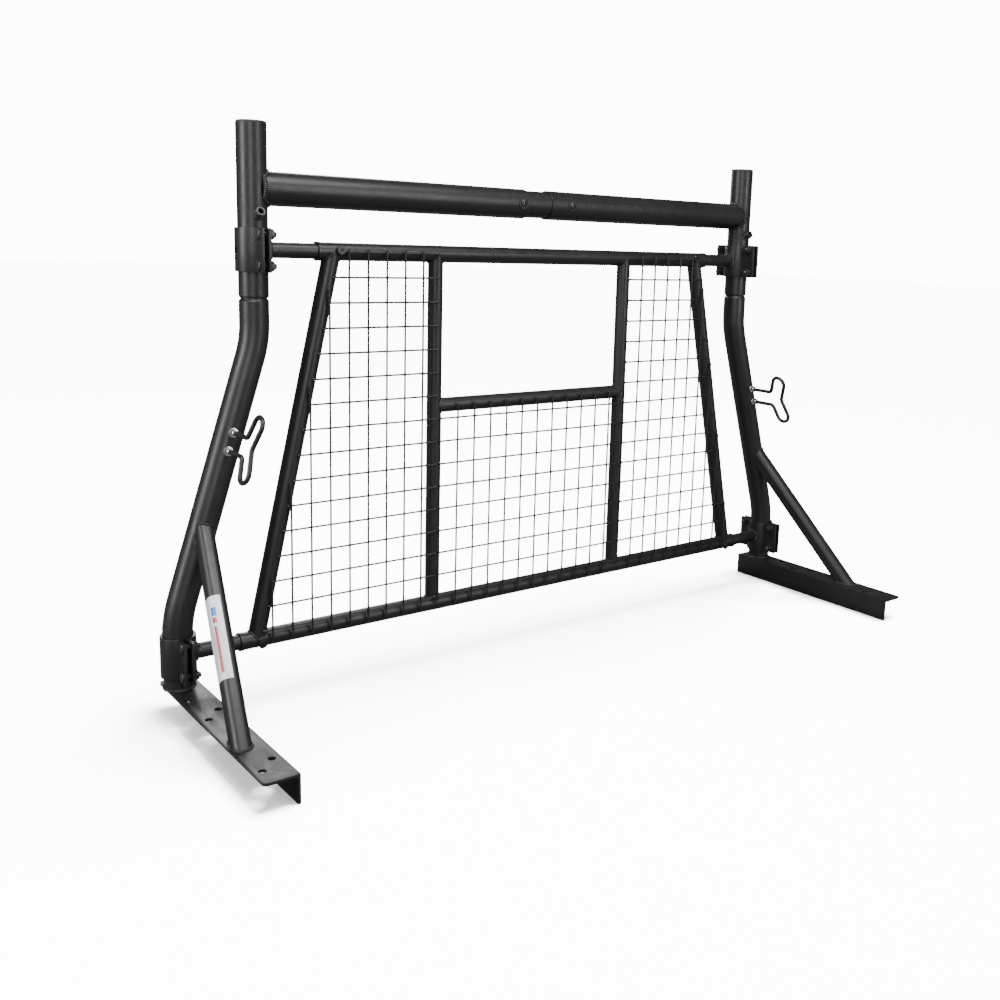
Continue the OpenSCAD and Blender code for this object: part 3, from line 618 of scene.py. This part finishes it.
for side, inward in (("left", 1), ("right", -1)):
    facing = Vector((inward, 0, 0))
    for level in ("upper", "lower"):
        node = f"{side}_{level}_clamp_nuts"
        low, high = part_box(node)
        seat, end = (low.x, high.x) if inward > 0 else (high.x, low.x)
        spots = [(y, z) for y in (low.y + CLAMP_WASHER_R, high.y - CLAMP_WASHER_R)
                 for z in (low.z + CLAMP_WASHER_R, high.z - CLAMP_WASHER_R)]
        nuts = joined([placed(clamp_nut, Vector((seat, y, z)), facing) for y, z in spots])
        deliver(nuts, node + "_turned", body_of[node], "dark_hardware", node)
        turns = joined([placed(clamp_thread, Vector((end, y, z)), facing) for y, z in spots])
        deliver(turns, f"{side}_{level}_clamp_threads", body_of[node], "dark_hardware")
    node = side + "_cleat_nuts"
    low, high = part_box(node)
    shanks = [(low.x, low.z, 1, 1), (high.x, high.z, -1, -1)]
    if inward < 0:
        shanks = [(high.x, low.z, -1, 1), (low.x, high.z, 1, -1)]
    group = []
    ends = []
    for x, z, step_x, step_z in shanks:
        x, z = x + step_x * CLEAT_WASHER_R, z + step_z * CLEAT_WASHER_R
        group.append(placed(cleat_nut, Vector((x, low.y + CLEAT_STACK, z)), Vector((0, -1, 0))))
        group.append(placed(cleat_nut, Vector((x, high.y - CLEAT_STACK, z)), Vector((0, 1, 0))))
        ends.append(placed(cleat_thread, Vector((x, high.y, z)), Vector((0, 1, 0))))
        ends.append(placed(cleat_thread, Vector((x, low.y, z)), Vector((0, -1, 0))))
    deliver(joined(group), node + "_turned", body_of[node], "zinc_hardware", node)
    deliver(joined(ends), side + "_cleat_threads", body_of[node], "zinc_hardware")
for pattern in (clamp_nut, cleat_nut, clamp_thread, cleat_thread):
    bpy.data.objects.remove(pattern)
print("nuts and threads placed")

# %% [markdown]
# ## Weld beads
#
# The frame is held together by welds, and each leaves a rippled bead round the joint.
# A bead follows the line where one tube meets another, which is a saddle and not a
# circle. A torus primitive gives the closed ring of sections. Its sections are then laid,
# one by one, on the points where lines along the tube's wall strike the other part, and
# they swell and shrink along the way as the puddles of a real bead do.

# %% Bead helpers
RIPPLE = 0.0030
SECTIONS = 10
VALLEY, PUDDLE = 0.84, 0.26         # thickness between the ripples, and what a ripple adds


def across(direction):
    one = direction.orthogonal().normalized()
    return one, direction.cross(one)


def circle(radius):
    count = max(48, int(2 * math.pi * radius / (RIPPLE / 4)))
    return [(radius * math.cos(2 * math.pi * k / count), radius * math.sin(2 * math.pi * k / count))
            for k in range(count)]


def onto_round(middle, axis, radius):
    def strike(point, way):
        away = point - middle
        away -= axis * away.dot(axis)
        pace = way - axis * way.dot(axis)
        reach, slope, gap = pace.dot(pace), away.dot(pace), away.dot(away) - radius ** 2
        return point + way * ((-slope - math.sqrt(max(slope ** 2 - reach * gap, 0))) / reach)
    return strike


def onto_level(z):
    def strike(point, way):
        return point + way * ((z - point.z) / way.z)
    return strike


def weld(name, body, outline, start, way, strike, size, side_ways=None):
    one, other = side_ways or across(way)
    line = [strike(start + one * x + other * y, way) for x, y in outline]
    count = len(line)
    deselect()
    bpy.ops.mesh.primitive_torus_add(major_segments=count, minor_segments=SECTIONS, major_radius=0.1,
                                     minor_radius=0.01)
    ring = bpy.context.object
    travelled = 0
    for k in range(count):
        ahead_of, behind = line[(k + 1) % count], line[k - 1]
        travelled += (line[k] - behind).length
        along = (ahead_of - behind).normalized()
        outward = line[k] - start
        outward -= way * outward.dot(way)
        outward = (outward - along * outward.dot(along)).normalized()
        upward = outward.cross(along)
        swell = size * (VALLEY + PUDDLE * abs(math.sin(math.pi * travelled / RIPPLE)))
        for section in range(SECTIONS):
            angle = 2 * math.pi * section / SECTIONS
            place = line[k] + (outward * math.cos(angle) + upward * math.sin(angle)) * swell
            ring.data.vertices[k * SECTIONS + section].co = place
    return deliver(ring, name, body, "frame_powder_coat")


print("bead helpers ready")

# %% [markdown]
# ### Tower welds
#
# On each tower: the leg on the base angle, both ends of the brace, the crossbar on the
# post, the eye boss on the post, and the two stubs on their clamps. The lines and radii
# come from the measures above.

# %% Tower welds
BRACE_W, BRACE_D, BRACE_CORNER = 0.032, 0.038, 0.013
LEG_BEAD, CROSSBAR_BEAD, STUB_BEAD, BOSS_BEAD = 0.0030, 0.0036, 0.0032, 0.0016
BRACE_FOOT_BEAD, BRACE_TOP_BEAD = 0.0026, 0.0024
CROSSBAR_SHORT = 0.0125     # the crossbar ends this far short of the post's axis
BOSS_R, BOSS_OUT, BOSS_DROP, BOSS_TILT = 0.0080, 0.0116, 0.04, math.radians(28)


def rounded_section(width, depth, corner):
    steps = 12
    points = []
    for turn, (x, y) in enumerate(((1, 1), (-1, 1), (-1, -1), (1, -1))):
        middle = (x * (width / 2 - corner), y * (depth / 2 - corner))
        for k in range(steps):
            angle = math.pi / 2 * (turn + k / steps)
            points.append((middle[0] + corner * math.cos(angle), middle[1] + corner * math.sin(angle)))
    dense = []
    for k, point in enumerate(points):
        after = points[(k + 1) % len(points)]
        span = math.dist(point, after)
        parts = max(1, round(span / (RIPPLE / 4)))
        dense += [(point[0] + (after[0] - point[0]) * j / parts, point[1] + (after[1] - point[1]) * j / parts)
                  for j in range(parts)]
    return dense


def tower_welds(side, s):
    body = side + "_tower"
    foot, post = s * FOOT_X, s * POST_X
    leg_axis = (leg_line(s, 1) - leg_line(s, 0)).normalized()
    weld(side + "_leg_weld", body, circle(TUBE_R), Vector((foot, TOWER_Y, 0.2)), DOWN,
         onto_level(FLANGE_TOP), LEG_BEAD)

    brace_top, brace_foot = brace_ends(s)
    way = (brace_foot - brace_top).normalized()
    tilt_y, tilt_x = math.asin(way.x * s), math.atan2(-way.y, way.z)
    turn = Matrix.Rotation(tilt_x, 3, "X") @ Matrix.Rotation(tilt_y, 3, "Y")
    wide, deep = turn @ Vector((1, 0, 0)), turn @ Vector((0, 1, 0))
    wide.x, deep.x = wide.x * s, deep.x * s
    section = rounded_section(BRACE_W, BRACE_D, BRACE_CORNER)
    halfway = (brace_top + brace_foot) / 2
    weld(side + "_brace_foot_weld", body, section, halfway, way, onto_level(FLANGE_TOP),
         BRACE_FOOT_BEAD, (wide, deep))
    weld(side + "_brace_top_weld", body, section, halfway, -way,
         onto_round(leg_line(s, BRACE_TOP_Z), leg_axis, TUBE_R), BRACE_TOP_BEAD, (wide, deep))

    def onto_post(point, way):
        gap = math.sqrt(max(TUBE_R ** 2 - (point.y - TOWER_Y) ** 2, 0))
        return Vector((s * (POST_X - max(gap, CROSSBAR_SHORT)), point.y, point.z))

    weld(side + "_crossbar_weld", body, circle(CROSSBAR_R), Vector((post - s * 0.1, TOWER_Y, CROSSBAR_Z)),
         Vector((s, 0, 0)), onto_post, CROSSBAR_BEAD)
    for level, z, x in (("upper", UPPER_Z, post), ("lower", LOWER_Z, foot)):
        weld(f"{side}_{level}_stub_weld", body, circle(STUB_R), Vector((x - s * 0.1, TOWER_Y, z)),
             Vector((s, 0, 0)), onto_round(Vector((x, TOWER_Y, z)), UP, CLAMP_R), STUB_BEAD)
    boss_way = Vector((0, math.cos(BOSS_TILT), -math.sin(BOSS_TILT)))
    boss_face = Vector((post, TOWER_Y - TUBE_R - BOSS_OUT, CROSSBAR_Z - BOSS_DROP))
    weld(side + "_eye_boss_weld", body, circle(BOSS_R), boss_face, boss_way,
         onto_round(Vector((post, TOWER_Y, 0)), UP, TUBE_R), BOSS_BEAD)


tower_welds("left", -1)
tower_welds("right", 1)

# %% [markdown]
# ### Guard welds
#
# The guard's slanted side tubes and uprights are coped onto its two bars, and the sill
# onto the uprights. Where two tubes are equally thick, the bead's ring is a hair narrower,
# so that every line of it still strikes the other tube.

# %% Guard welds
BAR_R = 0.0167
UPRIGHT_R = 0.015
HAIR = 0.0002
SIDE_BEAD, UPRIGHT_BEAD = 0.0020, 0.0019
UPRIGHT_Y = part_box("cage_left_upright")[0].y + UPRIGHT_R
UPRIGHT_X = middle_of("cage_right_upright").x
SILL_Z = middle_of("cage_sill").z
SIDE_TOP_X = POST_X - 0.153         # the slanted tubes' ends on the bars, in from the
SIDE_FOOT_X = FOOT_X - 0.146        # posts above and from the legs below


def bar_at(z):
    return onto_round(Vector((0, TOWER_Y, z)), ACROSS, BAR_R)


for side, s in (("left", -1), ("right", 1)):
    head = Vector((s * SIDE_TOP_X, TOWER_Y, UPPER_Z))
    foot = Vector((s * SIDE_FOOT_X, TOWER_Y, LOWER_Z))
    way = (foot - head).normalized()
    middle = (head + foot) / 2
    weld(f"cage_{side}_side_foot_weld", "cage", circle(BAR_R - HAIR), middle, way,
         bar_at(LOWER_Z), SIDE_BEAD)
    weld(f"cage_{side}_side_top_weld", "cage", circle(BAR_R - HAIR), middle, -way,
         bar_at(UPPER_Z), SIDE_BEAD)
    middle = Vector((s * UPRIGHT_X, UPRIGHT_Y, SILL_Z))
    weld(f"cage_{side}_upright_foot_weld", "cage", circle(UPRIGHT_R), middle, DOWN,
         bar_at(LOWER_Z), UPRIGHT_BEAD)
    weld(f"cage_{side}_upright_top_weld", "cage", circle(UPRIGHT_R), middle, UP,
         bar_at(UPPER_Z), UPRIGHT_BEAD)
    weld(f"cage_{side}_sill_weld", "cage", circle(UPRIGHT_R - HAIR), Vector((0, UPRIGHT_Y, SILL_Z)),
         Vector((s, 0, 0)), onto_round(middle, UP, UPRIGHT_R), UPRIGHT_BEAD)

# %% [markdown]
# ### Wire welds
#
# The mesh wires are spot welded to the tubes at their ends. A small flattened drop sits
# on each end. One drop is made and copied, and each panel's drops are one piece.

# %% Wire welds
ROW_PITCH, COLUMN_PITCH, CENTRE_PITCH = 0.047, 0.0402, 0.041
WIRE_R = 0.002
ROW_COUNT, COLUMN_COUNT, CENTRE_HALF = 16, 9, 5
FIRST_COLUMN = 0.04             # from the upright's axis
DROP_R, DROP_SHAPE = 0.0026, (1.25, 0.75, 1.1)
IN_FROM_AXIS = 0.0045           # a row's end lies on the tube, just beside its axis
FIRST_ROW_SHORT = 0.0215        # the top row stops at the set nut
SILL_CLEAR = 0.017
ROW_Y = TOWER_Y - BAR_R - WIRE_R
COLUMN_Y = ROW_Y - 2 * WIRE_R
ROW_DROP_Y, COLUMN_DROP_Y = ROW_Y + 0.0006, COLUMN_Y + 0.0012
rows = [UPPER_Z - k * ROW_PITCH for k in range(ROW_COUNT)]


def side_x(z):
    return SIDE_TOP_X + (UPPER_Z - z) * (SIDE_FOOT_X - SIDE_TOP_X) / (UPPER_Z - LOWER_Z)


def drops(name, spots):
    deselect()
    bpy.ops.mesh.primitive_ico_sphere_add(subdivisions=2, radius=DROP_R)
    first = bpy.context.object
    first.scale = DROP_SHAPE
    bpy.ops.object.transform_apply(location=True, rotation=True, scale=True)
    random.seed(len(spots))
    copies = []
    for x, y, z in spots:
        one = bpy.data.objects.new("drop", first.data.copy())
        bpy.context.scene.collection.objects.link(one)
        size = random.uniform(0.85, 1.12)
        spin = Matrix.Rotation(random.uniform(0, 3), 4, "Y")
        one.data.transform(Matrix.Translation((x, y, z)) @ spin @ Matrix.Scale(size, 4))
        copies.append(one)
    bpy.data.objects.remove(first)
    return deliver(joined(copies), name, "cage", "mesh_powder_coat")


side_spots = []
for z in rows:
    inner_x = UPRIGHT_X + IN_FROM_AXIS
    outer_x = side_x(z) - IN_FROM_AXIS if z < UPPER_Z else SIDE_TOP_X - FIRST_ROW_SHORT
    side_spots += [(inner_x, ROW_DROP_Y, z), (outer_x, ROW_DROP_Y, z)]
for x in [UPRIGHT_X + FIRST_COLUMN + i * COLUMN_PITCH for i in range(COLUMN_COUNT)]:
    top_z = UPPER_Z
    if x > SIDE_TOP_X:
        top_z = UPPER_Z - (x - SIDE_TOP_X) * (UPPER_Z - LOWER_Z) / (SIDE_FOOT_X - SIDE_TOP_X)
    side_spots += [(x, COLUMN_DROP_Y, LOWER_Z), (x, COLUMN_DROP_Y, top_z)]
centre_spots = [(s * (UPRIGHT_X - IN_FROM_AXIS), ROW_DROP_Y, z)
                for z in rows if z < SILL_Z - SILL_CLEAR for s in (-1, 1)]
centre_spots += [(i * CENTRE_PITCH, COLUMN_DROP_Y, z)
                 for i in range(-CENTRE_HALF, CENTRE_HALF + 1) for z in (LOWER_Z, SILL_Z)]
drops("right_mesh_drops", side_spots)
drops("left_mesh_drops", [(-x, y, z) for x, y, z in side_spots])
drops("centre_mesh_drops", centre_spots)
print("drops", 2 * len(side_spots) + len(centre_spots))
